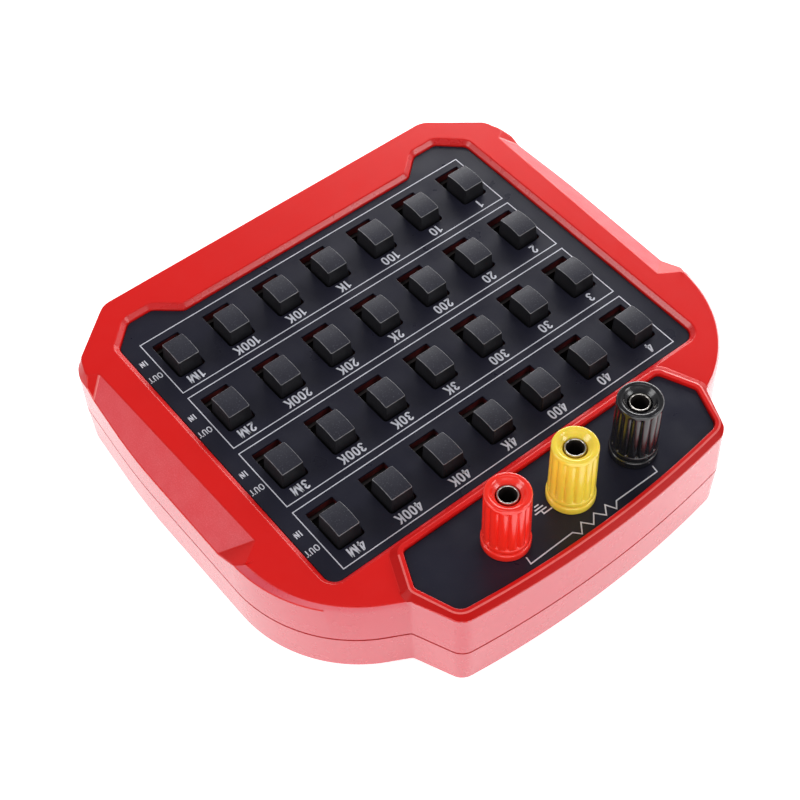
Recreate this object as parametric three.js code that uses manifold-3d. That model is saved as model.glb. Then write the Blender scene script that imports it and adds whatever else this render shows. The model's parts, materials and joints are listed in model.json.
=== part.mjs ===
// Decade resistance box: four rows of seven slide switches and three binding posts in a two-part case.
// Millimetres. X runs along a row of switches, Y from the front edge to the binding posts, Z up.
// The origin is at the middle of the underside.

import * as THREE from 'three';
import { mergeVertices } from 'three/addons/utils/BufferGeometryUtils.js';
import Module from 'manifold-3d';

const wasm = await Module();
wasm.setup();

// Clearances
const seatGap = 0.1; // under a flat piece that lies on its seat
const fitGap = 0.3; // round a piece that sits inside another
const runningGap = 0.2; // between a slider and the end of its slot
const overrun = 2; // how far a cutter runs past the face that it opens
const weldDistance = 0.0001;
const chordError = 0.1; // how far a rounded outline may stray from its arc

// Switch grid
const columns = 7;
const rows = 4;
const columnPitch = 14.83;
const rowPitch = 21;
const slotWidth = 7.2;
const slotLength = 11.8;

// Switch panel, a printed sheet in a recess of the case
const panelThickness = 0.5;
const panelSideMargin = 10.4; // outer column to the panel's side
const panelFrontMargin = 10.75; // first row to the panel's front edge
const panelRearMargin = 12.65; // last row to the panel's rear edge
const panelCornerRadius = 3;
const earInner = 35.6; // the two ears of the panel's front edge, from the middle
const earTipInner = 41.8;
const earTipOuter = 48.8;
const earLength = 5.4;
const earOuterDrop = 0.5; // how far the ear's outer corner lies behind the panel's front edge
const earRadius = 2.2;

// Case
const sideRim = 14.3; // panel to the widest point of the case
const frontRim = 14.4; // panel to the front edge
const ribWidth = 3.8; // between the two panels
const rearRim = 3.1; // terminal panel to the rear edge
const bottomHeight = 12.2;
const topHeight = 13; // from the parting gap up to the rim
const partingGap = 0.3;
const wall = 2.4;
const floorThickness = 2.2;
const panelDepth = 1.5; // rim down to the printed face of the switch panel
const panelStep = 0.35; // upright edge round the panel, under the sloped one
const panelSlopeWidth = 1.25;
const ceilingThickness = 2; // under the switch panel
const draft = 0.3; // how far each wall leans in over its height
const frontCutX = 18.2; // slanted front corners
const frontCutY = 13.2;
const frontCutRadius = 6;
const sideCornerRadius = 9;
const sideBow = 2.2; // the sides swell from the front corners
const sideBowY = 41; // to their widest point, behind the front edge
const sideBowRadius = 200;
const rearNarrowing = 0.9;
const shoulderFall = 11.6; // the rear shoulders fall from the tab to the sides
const shoulderRadius = 36;
const tabRootLength = 14.8; // tab root to the rear edge
const tabRootMargin = 2.4; // terminal panel's widest point to the tab root
const tabRootRadius = 1.2;
const tabTaper = 4.7; // each side of the tab leans in by this much
const tabCrown = 2.7; // the rear edge bows out by this much
const tabCornerRadius = 4;
const bevelWidth = 1.6; // top edge, at the sides
const bevelHeight = 1.8;
const bevelRearWidth = 0.4; // the same edge where it runs out at the tab
const footBevelWidth = 1.2;
const footBevelHeight = 1;
const tongueWidth = 1;
const tongueHeight = 1.2;

// Finger grips, one sloped facet along each side of the top
const gripFrontInset = 6.3; // widest point of the case to the facet's upper edge, in front
const gripRearInset = 7.9; // the same at the rear
const gripFront = 19; // front edge of the case to the facet
const gripLength = 62.4;
const gripAngle = 35; // degrees down from level
const gripFrontSkew = 4.2; // how much later the facet's lower edge starts
const gripRearSkew = 4.6;
const gripWidth = 7.1; // down the slope, to the wall
const gripEndRise = 3;
const gripEndRun = 5.1; // the facet's end faces run out this far while they rise

// Terminal panel, on a raised platform over the tab
const terminalLength = 22.3;
const terminalSideMargin = 23.15; // outer post to the panel's widest point
const terminalFrontTaper = 3.9;
const terminalVertexY = 9; // widest point, behind the panel's front edge
const terminalRearTaper = 4;
const terminalCrown = 2.8;
const terminalCornerRadius = 3;
const terminalVertexRadius = 1.5;
const terminalRaise = 2; // its printed face, above the switch panel's
const lipWidth = 1.2;
const lipHeight = 0.9; // above the terminal panel's printed face
const lipSlopeWidth = 2.1;
const lipSlopeHeight = 1.4;

// Binding posts
const postNames = ['black', 'yellow', 'red'];
const postPitch = 19.05;
const postY = 12; // behind the terminal panel's front edge
const postSides = 20;
const collarDiameter = 11.4;
const collarHeight = 2.2;
const spigotDiameter = 7.6;
const capHeight = 16.3;
const capTopDiameter = 10.4;
const capFootDiameter = 10.8;
const capFootHeight = 1.4; // plain band under the flutes
const capRimHeight = 1;
const capRimWidth = 1.3;
const capShoulder = 0.5;
const capBoreGap = 0.25; // round the thread, above the insert
const dishDepth = 1.1;
const fluteCount = 14;
const fluteDepth = 0.45;
const fluteSteps = 4; // points round each flute
const socketDiameter = 4.1;
const socketFloor = 1; // solid metal between the collar and the bottom of the socket
const socketRingDiameter = 4.9;
const socketRingLength = 5.8;
const socketRingDrop = 1; // the metal ring lies below the cap's rim
const threadDiameter = 6;
const tailDiameter = 4;
const tailLength = 13.4; // below the collar's top
const wireHoleDiameter = 2;
const wireHoleHeight = 1.8; // above the collar
const insertDiameter = 7.8;
const insertHeight = 7;
const insertFoot = 0.5; // the insert starts above the cap's lower face
const nutSides = 6;
const nutFlats = 8; // across the flats
const nutHeight = 2.4;

// Sliders and switch frames
const capLength = 7.8; // finger cap, at the panel
const capWidth = 6.4;
const capTopLengthShare = 0.95;
const capTopWidthShare = 0.85;
const capRise = 4.1; // ends of its top, above the panel
const capArch = 0.75; // middle of its top, above the ends
const capArchSteps = 6;
const capSkirt = 1.9; // below the panel's face, inside the slot
const stemWidth = 5.2;
const stemLength = 7;
const carriageWidth = 7.8;
const carriageLength = 9.2;
const frameWidth = 10.6;
const frameLength = 15;
const frameFloor = 1;
const frameLid = 1.5;
const frameStripWidth = 3;
const frameStripHeight = 2;

// Circuit board and what is on it
const boardThickness = 1.6;
const boardLift = 9.8; // case floor to the board
const boardSideMargin = 17.5; // outer column to the board's side
const boardFrontMargin = 10.1; // first row to the board's front edge
const boardRearMargin = 13.9; // last row to its rear edge
const boardCornerCut = 8;
const resistorLength = 6.3;
const resistorDiameter = 2.4;
const resistorShoulder = 0.4; // rounded end of the body
const resistorSides = 6;
const resistorLeadSize = 0.7;
const resistorPinSize = 0.5; // the two ends that go down to the board
const chainTurnMargin = 7; // outer column to the leads that turn the chain back

// Housing screws and their bosses
const bossDiameter = 7;
const bossSideMargin = 12; // outer column to a boss
const bossFrontY = 3.2; // ahead of the first row
const bossRearY = 4.8; // behind the last row
const screwDiameter = 3;
const screwLength = 16.5;
const screwHeadDiameter = 6;
const screwHeadHeight = 2;
const screwHeadDrop = 0.8; // below the underside's face
const screwSides = 16;
const screwSlotWidth = 1;
const screwSlotDepth = 0.9;

// Leads from the posts to the board
const leadDiameter = 1.8;
const leadSides = 8;
const leadSteps = 12;
const leadDip = 5.4; // lowest point, above the case floor
const leadLanding = 4.2; // rear edge of the board to the soldered end

// Heights and places worked out from the sizes above
const railZ = bottomHeight + partingGap; // lower edge of the top shell
const rimZ = railZ + topHeight;
const panelFaceZ = rimZ - panelDepth;
const panelSeatZ = panelFaceZ - panelThickness - seatGap;
const ceilingZ = panelSeatZ - ceilingThickness;
const terminalFaceZ = panelFaceZ + terminalRaise;
const terminalSeatZ = terminalFaceZ - panelThickness - seatGap;
const lipZ = terminalFaceZ + lipHeight;
const boardZ = floorThickness + boardLift;
const boardTopZ = boardZ + boardThickness;
const collarTopZ = terminalFaceZ + seatGap + collarHeight;
const capFootZ = collarTopZ + fitGap;
const capTopZ = capFootZ + capHeight;
const capBoreDiameter = threadDiameter + 2 * capBoreGap;
const studTopZ = capTopZ - socketRingDrop;
const tailZ = collarTopZ - tailLength;
const frameZ = boardTopZ + seatGap;
const frameTopZ = ceilingZ - fitGap;

const outerColumn = ((columns - 1) / 2) * columnPitch;
const halfPanel = outerColumn + panelSideMargin;
const halfCase = halfPanel + sideRim;
const halfTerminal = postPitch + terminalSideMargin;
const gridLength = (rows - 1) * rowPitch;
const panelLength = panelFrontMargin + gridLength + panelRearMargin;
const caseDepth = frontRim + panelLength + ribWidth + terminalLength + rearRim;
const frontY = -caseDepth / 2;
const rearY = caseDepth / 2;
const panelFrontY = frontY + frontRim;
const panelRearY = panelFrontY + panelLength;
const firstRowY = panelFrontY + panelFrontMargin;
const lastRowY = firstRowY + gridLength;
const terminalFrontY = panelRearY + ribWidth;
const terminalRearY = terminalFrontY + terminalLength;
const tabRootY = rearY - tabRootLength;
const halfTabRoot = halfTerminal + tabRootMargin;
const postRowY = terminalFrontY + postY;
const halfBoard = outerColumn + boardSideMargin;
const boardFrontY = firstRowY - boardFrontMargin;
const boardRearY = lastRowY + boardRearMargin;
const carriageZ = frameZ + frameFloor + fitGap;
const carriageTopZ = frameTopZ - frameLid - fitGap;
const sliderTravel = slotLength - capLength - 2 * runningGap;
const sliderRestY = sliderTravel / 2; // all switches rest at the end nearer the posts

const columnX = (column) => (column - (columns - 1) / 2) * columnPitch;
const rowY = (row) => firstRowY + row * rowPitch;
const postX = (post) => (post - (postNames.length - 1) / 2) * postPitch;

// Finishes
const finishes = {
  caseRed: new THREE.MeshStandardMaterial({ color: 0xcf2423, roughness: 0.42, metalness: 0 }),
  panelBlack: new THREE.MeshStandardMaterial({ color: 0x2b2e3a, roughness: 0.5, metalness: 0 }),
  sliderBlack: new THREE.MeshStandardMaterial({ color: 0x2a2a2e, roughness: 0.55, metalness: 0 }),
  boardGreen: new THREE.MeshStandardMaterial({ color: 0x1f6b3a, roughness: 0.5, metalness: 0 }),
  frameGrey: new THREE.MeshStandardMaterial({ color: 0x9a9ca0, roughness: 0.35, metalness: 0.9 }),
  resistorBlue: new THREE.MeshStandardMaterial({ color: 0x5b93b8, roughness: 0.4, metalness: 0 }),
  nickel: new THREE.MeshStandardMaterial({ color: 0xc9c8c4, roughness: 0.25, metalness: 1 }),
  brass: new THREE.MeshStandardMaterial({ color: 0xc7a256, roughness: 0.3, metalness: 1 }),
  steel: new THREE.MeshStandardMaterial({ color: 0x8d8f93, roughness: 0.35, metalness: 1 }),
  red: new THREE.MeshStandardMaterial({ color: 0xe01f14, roughness: 0.3, metalness: 0 }),
  yellow: new THREE.MeshStandardMaterial({ color: 0xf0c020, roughness: 0.3, metalness: 0 }),
  black: new THREE.MeshStandardMaterial({ color: 0x16161a, roughness: 0.3, metalness: 0 }),
};

// A closed geometry as a solid that can be joined and cut
function solid(geometry) {
  const bare = geometry.clone();
  for (const name of ['normal', 'uv']) bare.deleteAttribute(name);
  const merged = mergeVertices(bare, weldDistance);
  const corners = Array.from(merged.index.array);
  const triangles = [];
  for (let i = 0; i < corners.length; i += 3) {
    const [a, b, c] = corners.slice(i, i + 3);
    if (a !== b && b !== c && c !== a) triangles.push(a, b, c);
  }
  const mesh = (triVerts) =>
    new wasm.Mesh({
      numProp: 3,
      vertProperties: merged.attributes.position.array,
      triVerts: new Uint32Array(triVerts),
    });
  const made = new wasm.Manifold(mesh(triangles));
  return made.volume() < 0 ? new wasm.Manifold(mesh(triangles.toReversed())) : made;
}

// A solid back as a geometry
function geometryOf(body) {
  const { vertProperties, triVerts } = body.getMesh();
  const geometry = new THREE.BufferGeometry();
  geometry.setAttribute('position', new THREE.BufferAttribute(vertProperties, 3));
  geometry.setIndex(new THREE.BufferAttribute(triVerts, 1));
  return geometry.toNonIndexed();
}

const join = (bodies) => bodies.reduce((all, body) => all.add(body));
const cut = (body, cutters) => cutters.reduce((rest, cutter) => rest.subtract(cutter), body);

// Body turned about an upright axis, from [diameter, z] pairs that run up its section
function turned(section, x = 0, y = 0, sides = postSides) {
  const points = section.map(([diameter, z]) => new THREE.Vector2(diameter / 2, z));
  if (section[0][0] > 0) points.push(points[0].clone());
  return solid(new THREE.LatheGeometry(points, sides).rotateX(Math.PI / 2).translate(x, y, 0));
}

// Closed outline with rounded corners, from [x, y, radius] corners that run counter-clockwise
function roundedOutline(corners) {
  const edgeShare = 0.98;
  const straight = 0.01;
  const count = corners.length;
  const at = corners.map(([x, y]) => new THREE.Vector2(x, y));
  const heading = at.map((point, i) => at[(i + 1) % count].clone().sub(point));
  const turn = heading.map((after, i) => {
    const before = heading[(i + count - 1) % count];
    return Math.atan2(before.cross(after), before.dot(after));
  });
  const wanted = corners.map(([, , radius], i) => radius * Math.abs(Math.tan(turn[i] / 2)));
  return corners.flatMap(([, , radius], i) => {
    const previous = (i + count - 1) % count;
    const next = (i + 1) % count;
    const roomAfter = (edgeShare * heading[i].length()) / (wanted[i] + wanted[next]);
    const roomBefore = (edgeShare * heading[previous].length()) / (wanted[i] + wanted[previous]);
    const fit = Math.min(1, roomAfter, roomBefore);
    if (!radius || Math.abs(turn[i]) < straight) return [at[i]];
    const back = heading[previous].clone().normalize();
    const start = at[i].clone().addScaledVector(back, -wanted[i] * fit);
    const side = Math.sign(turn[i]) * radius * fit;
    const centre = start.clone().add(new THREE.Vector2(-back.y, back.x).multiplyScalar(side));
    const spoke = start.clone().sub(centre);
    const steps = Math.ceil(Math.abs(turn[i]) / Math.sqrt((8 * chordError) / radius));
    return Array.from({ length: steps + 1 }, (_, step) =>
      spoke.clone().rotateAround(new THREE.Vector2(), (turn[i] * step) / steps).add(centre),
    );
  });
}

// Right half of an outline, front to rear, completed by its mirror image
function symmetricOutline(half) {
  const mirrored = half
    .filter(([x]) => x > 0)
    .map(([x, y, radius]) => [-x, y, radius])
    .reverse();
  return roundedOutline([...half, ...mirrored]);
}

// Half of a rear edge that bows out, from its corner to the middle
function crownedEdge(half, cornerY, rise, cornerRadius) {
  const steps = 6;
  return Array.from({ length: steps + 1 }, (_, step) => {
    const share = 1 - step / steps;
    return [half * share, cornerY + rise * (1 - share * share), step ? 0 : cornerRadius];
  });
}

// The same outline moved inwards by a distance that may differ from point to point
function inset(outline, distance) {
  const count = outline.length;
  const normalAfter = outline.map((point, i) => {
    const along = outline[(i + 1) % count].clone().sub(point).normalize();
    return new THREE.Vector2(-along.y, along.x);
  });
  return outline.map((point, i) => {
    const before = normalAfter[(i + count - 1) % count];
    const sum = before.clone().add(normalAfter[i]);
    const far = typeof distance === 'function' ? distance(point) : distance;
    return point.clone().addScaledVector(sum, far / (1 + before.dot(normalAfter[i])));
  });
}

// Solid through a stack of [z, outline] rings, lowest first
function loft(rings) {
  const count = rings[0][1].length;
  const positions = rings.flatMap(([z, outline]) => outline.flatMap(({ x, y }) => [x, y, z]));
  const faces = [];
  for (let ring = 0; ring + 1 < rings.length; ring += 1) {
    for (let i = 0; i < count; i += 1) {
      const a = ring * count + i;
      const b = ring * count + ((i + 1) % count);
      faces.push(a, b, b + count, a, b + count, a + count);
    }
  }
  const top = (rings.length - 1) * count;
  for (const [a, b, c] of THREE.ShapeUtils.triangulateShape(rings[0][1], [])) faces.push(c, b, a);
  for (const [a, b, c] of THREE.ShapeUtils.triangulateShape(rings.at(-1)[1], [])) {
    faces.push(top + a, top + b, top + c);
  }
  const geometry = new THREE.BufferGeometry();
  geometry.setAttribute('position', new THREE.Float32BufferAttribute(positions, 3));
  geometry.setIndex(faces);
  return solid(geometry);
}

const plate = (outline, lowZ, highZ) => loft([[lowZ, outline], [highZ, outline]]);

// Box between two heights, centred on x and y
function block(width, length, lowZ, highZ, x = 0, y = 0) {
  const corners = [[-1, -1], [1, -1], [1, 1], [-1, 1]];
  const outline = corners.map(([a, b]) => new THREE.Vector2(x + (a * width) / 2, y + (b * length) / 2));
  return plate(outline, lowZ, highZ);
}

const circle = (diameter, x, y, sides) =>
  Array.from({ length: sides }, (_, i) => {
    const angle = (2 * Math.PI * i) / sides;
    return new THREE.Vector2(x + (diameter / 2) * Math.cos(angle), y + (diameter / 2) * Math.sin(angle));
  });

// Upright cylinder between two heights
const rod = (diameter, lowZ, highZ, x = 0, y = 0, sides = postSides) =>
  plate(circle(diameter, x, y, sides), lowZ, highZ);

// Outlines seen from above
const caseOutline = symmetricOutline([
  [halfCase - frontCutX, frontY, frontCutRadius],
  [halfCase - sideBow, frontY + frontCutY, sideCornerRadius],
  [halfCase, frontY + sideBowY, sideBowRadius],
  [halfCase - rearNarrowing, tabRootY - shoulderFall, shoulderRadius],
  [halfTabRoot, tabRootY, tabRootRadius],
  ...crownedEdge(halfTabRoot - tabTaper, rearY - tabCrown, tabCrown, tabCornerRadius),
]);

const panelOutline = symmetricOutline([
  [earInner, panelFrontY, earRadius],
  [earTipInner, panelFrontY - earLength, earRadius],
  [earTipOuter, panelFrontY - earLength, earRadius],
  [halfPanel, panelFrontY + earOuterDrop, earRadius],
  [halfPanel, panelRearY, panelCornerRadius],
]);

const terminalOutline = symmetricOutline([
  [halfTerminal - terminalFrontTaper, terminalFrontY, terminalVertexRadius],
  [halfTerminal, terminalFrontY + terminalVertexY, terminalVertexRadius],
  ...crownedEdge(
    halfTerminal - terminalRearTaper,
    terminalRearY - terminalCrown,
    terminalCrown,
    terminalCornerRadius,
  ),
]);

// One solid per slot, post hole or boss, for cuts that repeat
const eachSwitch = (make) =>
  Array.from({ length: rows * columns }, (_, i) =>
    make(columnX(i % columns), rowY(Math.floor(i / columns))),
  );
const eachPost = (make) => postNames.map((_, post) => make(postX(post), postRowY));
const bossPlaces = [-1, 1].flatMap((side) =>
  [firstRowY - bossFrontY, lastRowY + bossRearY].map((y) => [side * (outerColumn + bossSideMargin), y]),
);
const eachBoss = (make) => bossPlaces.map(([x, y]) => make(x, y));

const slotCut = (lowZ, highZ) => eachSwitch((x, y) => block(slotWidth, slotLength, lowZ, highZ, x, y));

// Cutter for one finger grip, on the side where x is positive
function gripCutter() {
  const slopeRun = gripFrontSkew / gripWidth;
  const rearRun = gripRearSkew / gripWidth;
  const reach = gripWidth + overrun;
  const facet = new THREE.Shape([
    new THREE.Vector2(0, 0),
    new THREE.Vector2(reach, slopeRun * reach),
    new THREE.Vector2(reach, gripLength - rearRun * reach),
    new THREE.Vector2(0, gripLength),
  ]);
  const geometry = new THREE.ExtrudeGeometry(facet, {
    depth: overrun,
    bevelEnabled: true,
    bevelThickness: gripEndRise,
    bevelSize: gripEndRun,
    bevelSegments: 1,
  });
  const twist = Math.atan2(gripRearInset - gripFrontInset, gripLength);
  return geometry
    .translate(0, 0, gripEndRise)
    .rotateY(THREE.MathUtils.degToRad(gripAngle))
    .rotateZ(twist)
    .translate(halfCase - gripFrontInset, frontY + gripFront, rimZ);
}

function mirrored(geometry) {
  const flipped = geometry.clone().scale(-1, 1, 1);
  const position = flipped.attributes.position;
  const corner = new THREE.Vector3();
  const other = new THREE.Vector3();
  for (let i = 0; i < position.count; i += 3) {
    corner.fromBufferAttribute(position, i);
    other.fromBufferAttribute(position, i + 1);
    position.setXYZ(i, other.x, other.y, other.z);
    position.setXYZ(i + 1, corner.x, corner.y, corner.z);
  }
  return flipped;
}

// Width of the top edge's bevel, which runs out along the rear shoulders
function bevelAt({ y }) {
  const shoulderStart = tabRootY - shoulderFall - shoulderRadius / 2;
  const share = THREE.MathUtils.clamp((y - shoulderStart) / (tabRootY - shoulderStart), 0, 1);
  return y > tabRootY ? 0 : THREE.MathUtils.lerp(bevelWidth, bevelRearWidth, share);
}

function makeHousingTop() {
  const shell = loft([
    [railZ, caseOutline],
    [rimZ - bevelHeight, inset(caseOutline, draft)],
    [rimZ, inset(caseOutline, (point) => draft + bevelAt(point))],
  ]);
  const platform = loft([
    [lipZ - lipSlopeHeight, inset(terminalOutline, -lipWidth - lipSlopeWidth)],
    [lipZ, inset(terminalOutline, -lipWidth)],
  ]).intersect(plate(inset(caseOutline, draft + bevelRearWidth), railZ, lipZ + overrun));
  const panelRecess = loft([
    [panelSeatZ, inset(panelOutline, -seatGap)],
    [panelFaceZ + panelStep, inset(panelOutline, -seatGap)],
    [rimZ, inset(panelOutline, -seatGap - panelSlopeWidth)],
    [rimZ + overrun, inset(panelOutline, -seatGap - panelSlopeWidth)],
  ]);
  const terminalRecess = plate(inset(terminalOutline, -seatGap), terminalSeatZ, lipZ + overrun);
  const cavity = loft([
    [railZ - overrun, inset(caseOutline, wall)],
    [ceilingZ, inset(caseOutline, wall + draft)],
  ]);
  const rebate = plate(
    inset(caseOutline, wall - tongueWidth - fitGap),
    railZ - overrun,
    bottomHeight + tongueHeight + fitGap,
  );
  const grip = gripCutter();
  const hollow = cut(shell.add(platform), [
    panelRecess,
    terminalRecess,
    cavity,
    rebate,
    solid(grip),
    solid(mirrored(grip)),
    ...slotCut(ceilingZ - overrun, panelSeatZ + overrun),
    ...eachPost((x, y) => rod(spigotDiameter + 2 * fitGap, ceilingZ - overrun, lipZ + overrun, x, y)),
  ]);
  const pilotZ = railZ - overrun;
  const pilotTopZ = screwHeadDrop + screwHeadHeight + screwLength + fitGap;
  const bosses = eachBoss((x, y) => rod(bossDiameter, boardTopZ + seatGap, ceilingZ + overrun / 2, x, y));
  const pilots = eachBoss((x, y) => rod(screwDiameter + 2 * fitGap, pilotZ, pilotTopZ, x, y, screwSides));
  return cut(join([hollow, ...bosses]), pilots);
}

function makeHousingBottom() {
  const shell = loft([
    [0, inset(caseOutline, draft + footBevelWidth)],
    [footBevelHeight, inset(caseOutline, draft)],
    [bottomHeight, caseOutline],
  ]);
  const tongue = plate(inset(caseOutline, wall - tongueWidth), bottomHeight / 2, bottomHeight + tongueHeight);
  const cavity = loft([
    [floorThickness, inset(caseOutline, wall + draft)],
    [railZ, inset(caseOutline, wall)],
    [railZ + overrun, inset(caseOutline, wall)],
  ]);
  const bosses = eachBoss((x, y) => rod(bossDiameter, floorThickness / 2, boardZ - seatGap, x, y));
  const shaftDiameter = screwDiameter + 2 * fitGap;
  const shafts = eachBoss((x, y) => rod(shaftDiameter, -overrun, boardZ + overrun, x, y, screwSides));
  const headDiameter = screwHeadDiameter + 2 * fitGap;
  const headZ = screwHeadDrop + screwHeadHeight + seatGap;
  const heads = eachBoss((x, y) => rod(headDiameter, -overrun, headZ, x, y));
  return cut(join([shell.add(tongue).subtract(cavity), ...bosses]), [...shafts, ...heads]);
}

function makeSwitchPanel() {
  const sheet = plate(inset(panelOutline, seatGap), panelSeatZ + seatGap, panelFaceZ);
  return cut(sheet, slotCut(panelSeatZ - overrun, panelFaceZ + overrun));
}

function makeTerminalPanel() {
  const sheet = plate(inset(terminalOutline, seatGap), terminalSeatZ + seatGap, terminalFaceZ);
  const holeDiameter = spigotDiameter + 2 * fitGap;
  return cut(sheet, eachPost((x, y) => rod(holeDiameter, terminalSeatZ - overrun, lipZ, x, y)));
}

function makeCircuitBoard() {
  const outline = symmetricOutline([
    [halfBoard, boardFrontY, 0],
    [halfBoard, boardRearY - boardCornerCut, 0],
    [halfBoard - boardCornerCut, boardRearY, 0],
  ]);
  const holeDiameter = screwDiameter + 2 * fitGap;
  const lowZ = boardZ - overrun;
  const highZ = boardTopZ + overrun;
  const holes = eachBoss((x, y) => rod(holeDiameter, lowZ, highZ, x, y, screwSides));
  return cut(plate(outline, boardZ, boardTopZ), holes);
}

// Seven switch frames of one row, with the strip that holds them in line
function makeSwitchBank(row) {
  const y = rowY(row);
  const cavityWidth = carriageWidth + 2 * fitGap;
  const cavityLength = carriageLength + sliderTravel + 2 * fitGap;
  const cavityZ = frameZ + frameFloor;
  const openingWidth = stemWidth + 2 * fitGap;
  const openingLength = stemLength + sliderTravel + 2 * fitGap;
  const lidZ = frameTopZ - frameLid;
  const frames = Array.from({ length: columns }, (_, column) => {
    const x = columnX(column);
    return cut(block(frameWidth, frameLength, frameZ, frameTopZ, x, y), [
      block(cavityWidth, cavityLength, cavityZ, lidZ, x, y),
      block(openingWidth, openingLength, lidZ - fitGap, frameTopZ + overrun, x, y),
    ]);
  });
  const links = Array.from({ length: columns - 1 }, (_, link) => {
    const x = (columnX(link) + columnX(link + 1)) / 2;
    const span = columnPitch - frameWidth + 2 * fitGap;
    return block(span, frameStripWidth, frameZ, frameZ + frameStripHeight, x, y);
  });
  return join([...frames, ...links]);
}

// Finger cap with an arched top, its sides drawn in towards the top
function makeFingerCap() {
  const half = capLength / 2;
  const topHalf = half * capTopLengthShare;
  const section = new THREE.Shape();
  section.moveTo(-half, -capSkirt);
  section.lineTo(half, -capSkirt);
  section.lineTo(half, 0);
  for (let step = 0; step <= capArchSteps; step += 1) {
    const share = 1 - (2 * step) / capArchSteps;
    section.lineTo(topHalf * share, capRise + capArch * (1 - share * share));
  }
  section.lineTo(-half, 0);
  const geometry = new THREE.ExtrudeGeometry(section, { depth: capWidth, bevelEnabled: false });
  geometry.translate(0, 0, -capWidth / 2).rotateY(Math.PI / 2).rotateX(Math.PI / 2);
  const position = geometry.attributes.position;
  for (let i = 0; i < position.count; i += 1) {
    const share = THREE.MathUtils.clamp(position.getZ(i) / capRise, 0, 1);
    position.setX(i, position.getX(i) * THREE.MathUtils.lerp(1, capTopWidthShare, share));
  }
  return solid(geometry.translate(0, 0, panelFaceZ));
}

// Cap, stem and contact carriage of one switch, over the middle of the slot
function makeSlider() {
  const stemZ = (carriageZ + carriageTopZ) / 2;
  return join([
    makeFingerCap(),
    block(stemWidth, stemLength, stemZ, panelFaceZ),
    block(carriageWidth, carriageLength, carriageZ, carriageTopZ),
  ]);
}

// All resistors in one series line that turns back at the end of each row
function makeResistorChain() {
  const z = boardTopZ + fitGap + resistorDiameter / 2;
  const half = resistorLeadSize / 2;
  const turnX = outerColumn + chainTurnMargin;
  const lineY = (row) => rowY(row) + rowPitch / 2;
  const route = Array.from({ length: rows }, (_, row) => {
    const side = row % 2 ? 1 : -1;
    return [new THREE.Vector2(side * turnX, lineY(row)), new THREE.Vector2(-side * turnX, lineY(row))];
  }).flat();
  const edge = (offset) =>
    route.map((point, i) => {
      const before = point.clone().sub(route[Math.max(i - 1, 0)]).normalize();
      const after = route[Math.min(i + 1, route.length - 1)].clone().sub(point).normalize();
      const along = before.add(after);
      return point.clone().add(new THREE.Vector2(-along.y, along.x).multiplyScalar(offset));
    });
  const leads = plate([...edge(-half), ...edge(half).reverse()], z - half, z + half);

  const endDiameter = resistorDiameter - 2 * resistorShoulder;
  const halfLength = resistorLength / 2;
  const section = [
    [0, -halfLength],
    [endDiameter, -halfLength],
    [resistorDiameter, resistorShoulder - halfLength],
    [resistorDiameter, halfLength - resistorShoulder],
    [endDiameter, halfLength],
    [0, halfLength],
  ].map(([diameter, along]) => new THREE.Vector2(diameter / 2, along));
  const resistor = new THREE.LatheGeometry(section, resistorSides).rotateZ(Math.PI / 2);
  const bodies = Array.from({ length: rows * columns }, (_, i) =>
    solid(resistor.clone().translate(columnX(i % columns), lineY(Math.floor(i / columns)), z)),
  );
  const pins = [route[0], route.at(-1)].map(({ x, y }) =>
    block(resistorPinSize, resistorPinSize, boardTopZ + fitGap, z, x - Math.sign(x) * half, y),
  );
  return join([leads, ...bodies, ...pins]);
}

// Insulating collar of one post, with a spigot through the terminal panel and the case
function makePostBase(x) {
  const bore = tailDiameter + 2 * fitGap;
  return turned(
    [
      [bore, ceilingZ + fitGap],
      [spigotDiameter, ceilingZ + fitGap],
      [spigotDiameter, terminalFaceZ + seatGap],
      [collarDiameter, terminalFaceZ + seatGap],
      [collarDiameter, collarTopZ],
      [bore, collarTopZ],
    ],
    x,
    postRowY,
  );
}

// Stud of one post: socket ring, thread with a wire hole, and a tail for the nut and the lead
function makePostStud(x) {
  const shoulderZ = collarTopZ + seatGap;
  const body = turned(
    [
      [0, tailZ],
      [tailDiameter, tailZ],
      [tailDiameter, shoulderZ],
      [threadDiameter, shoulderZ],
      [threadDiameter, studTopZ - socketRingLength],
      [socketRingDiameter, studTopZ - socketRingLength],
      [socketRingDiameter, studTopZ],
      [0, studTopZ],
    ],
    x,
    postRowY,
  );
  const socket = rod(socketDiameter, shoulderZ + socketFloor, studTopZ + overrun, x, postRowY);
  const drill = new THREE.CylinderGeometry(
    wireHoleDiameter / 2,
    wireHoleDiameter / 2,
    threadDiameter + 2 * overrun,
    screwSides,
  );
  drill.rotateZ(Math.PI / 2).translate(x, postRowY, shoulderZ + wireHoleHeight);
  return cut(body, [socket, solid(drill)]);
}

// Threaded insert that carries one cap up and down the stud
function makePostInsert(x) {
  const lowZ = capFootZ + insertFoot;
  const bore = threadDiameter + 2 * runningGap;
  return turned(
    [
      [bore, lowZ],
      [insertDiameter, lowZ],
      [insertDiameter, lowZ + insertHeight],
      [bore, lowZ + insertHeight],
    ],
    x,
    postRowY,
  );
}

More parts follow.
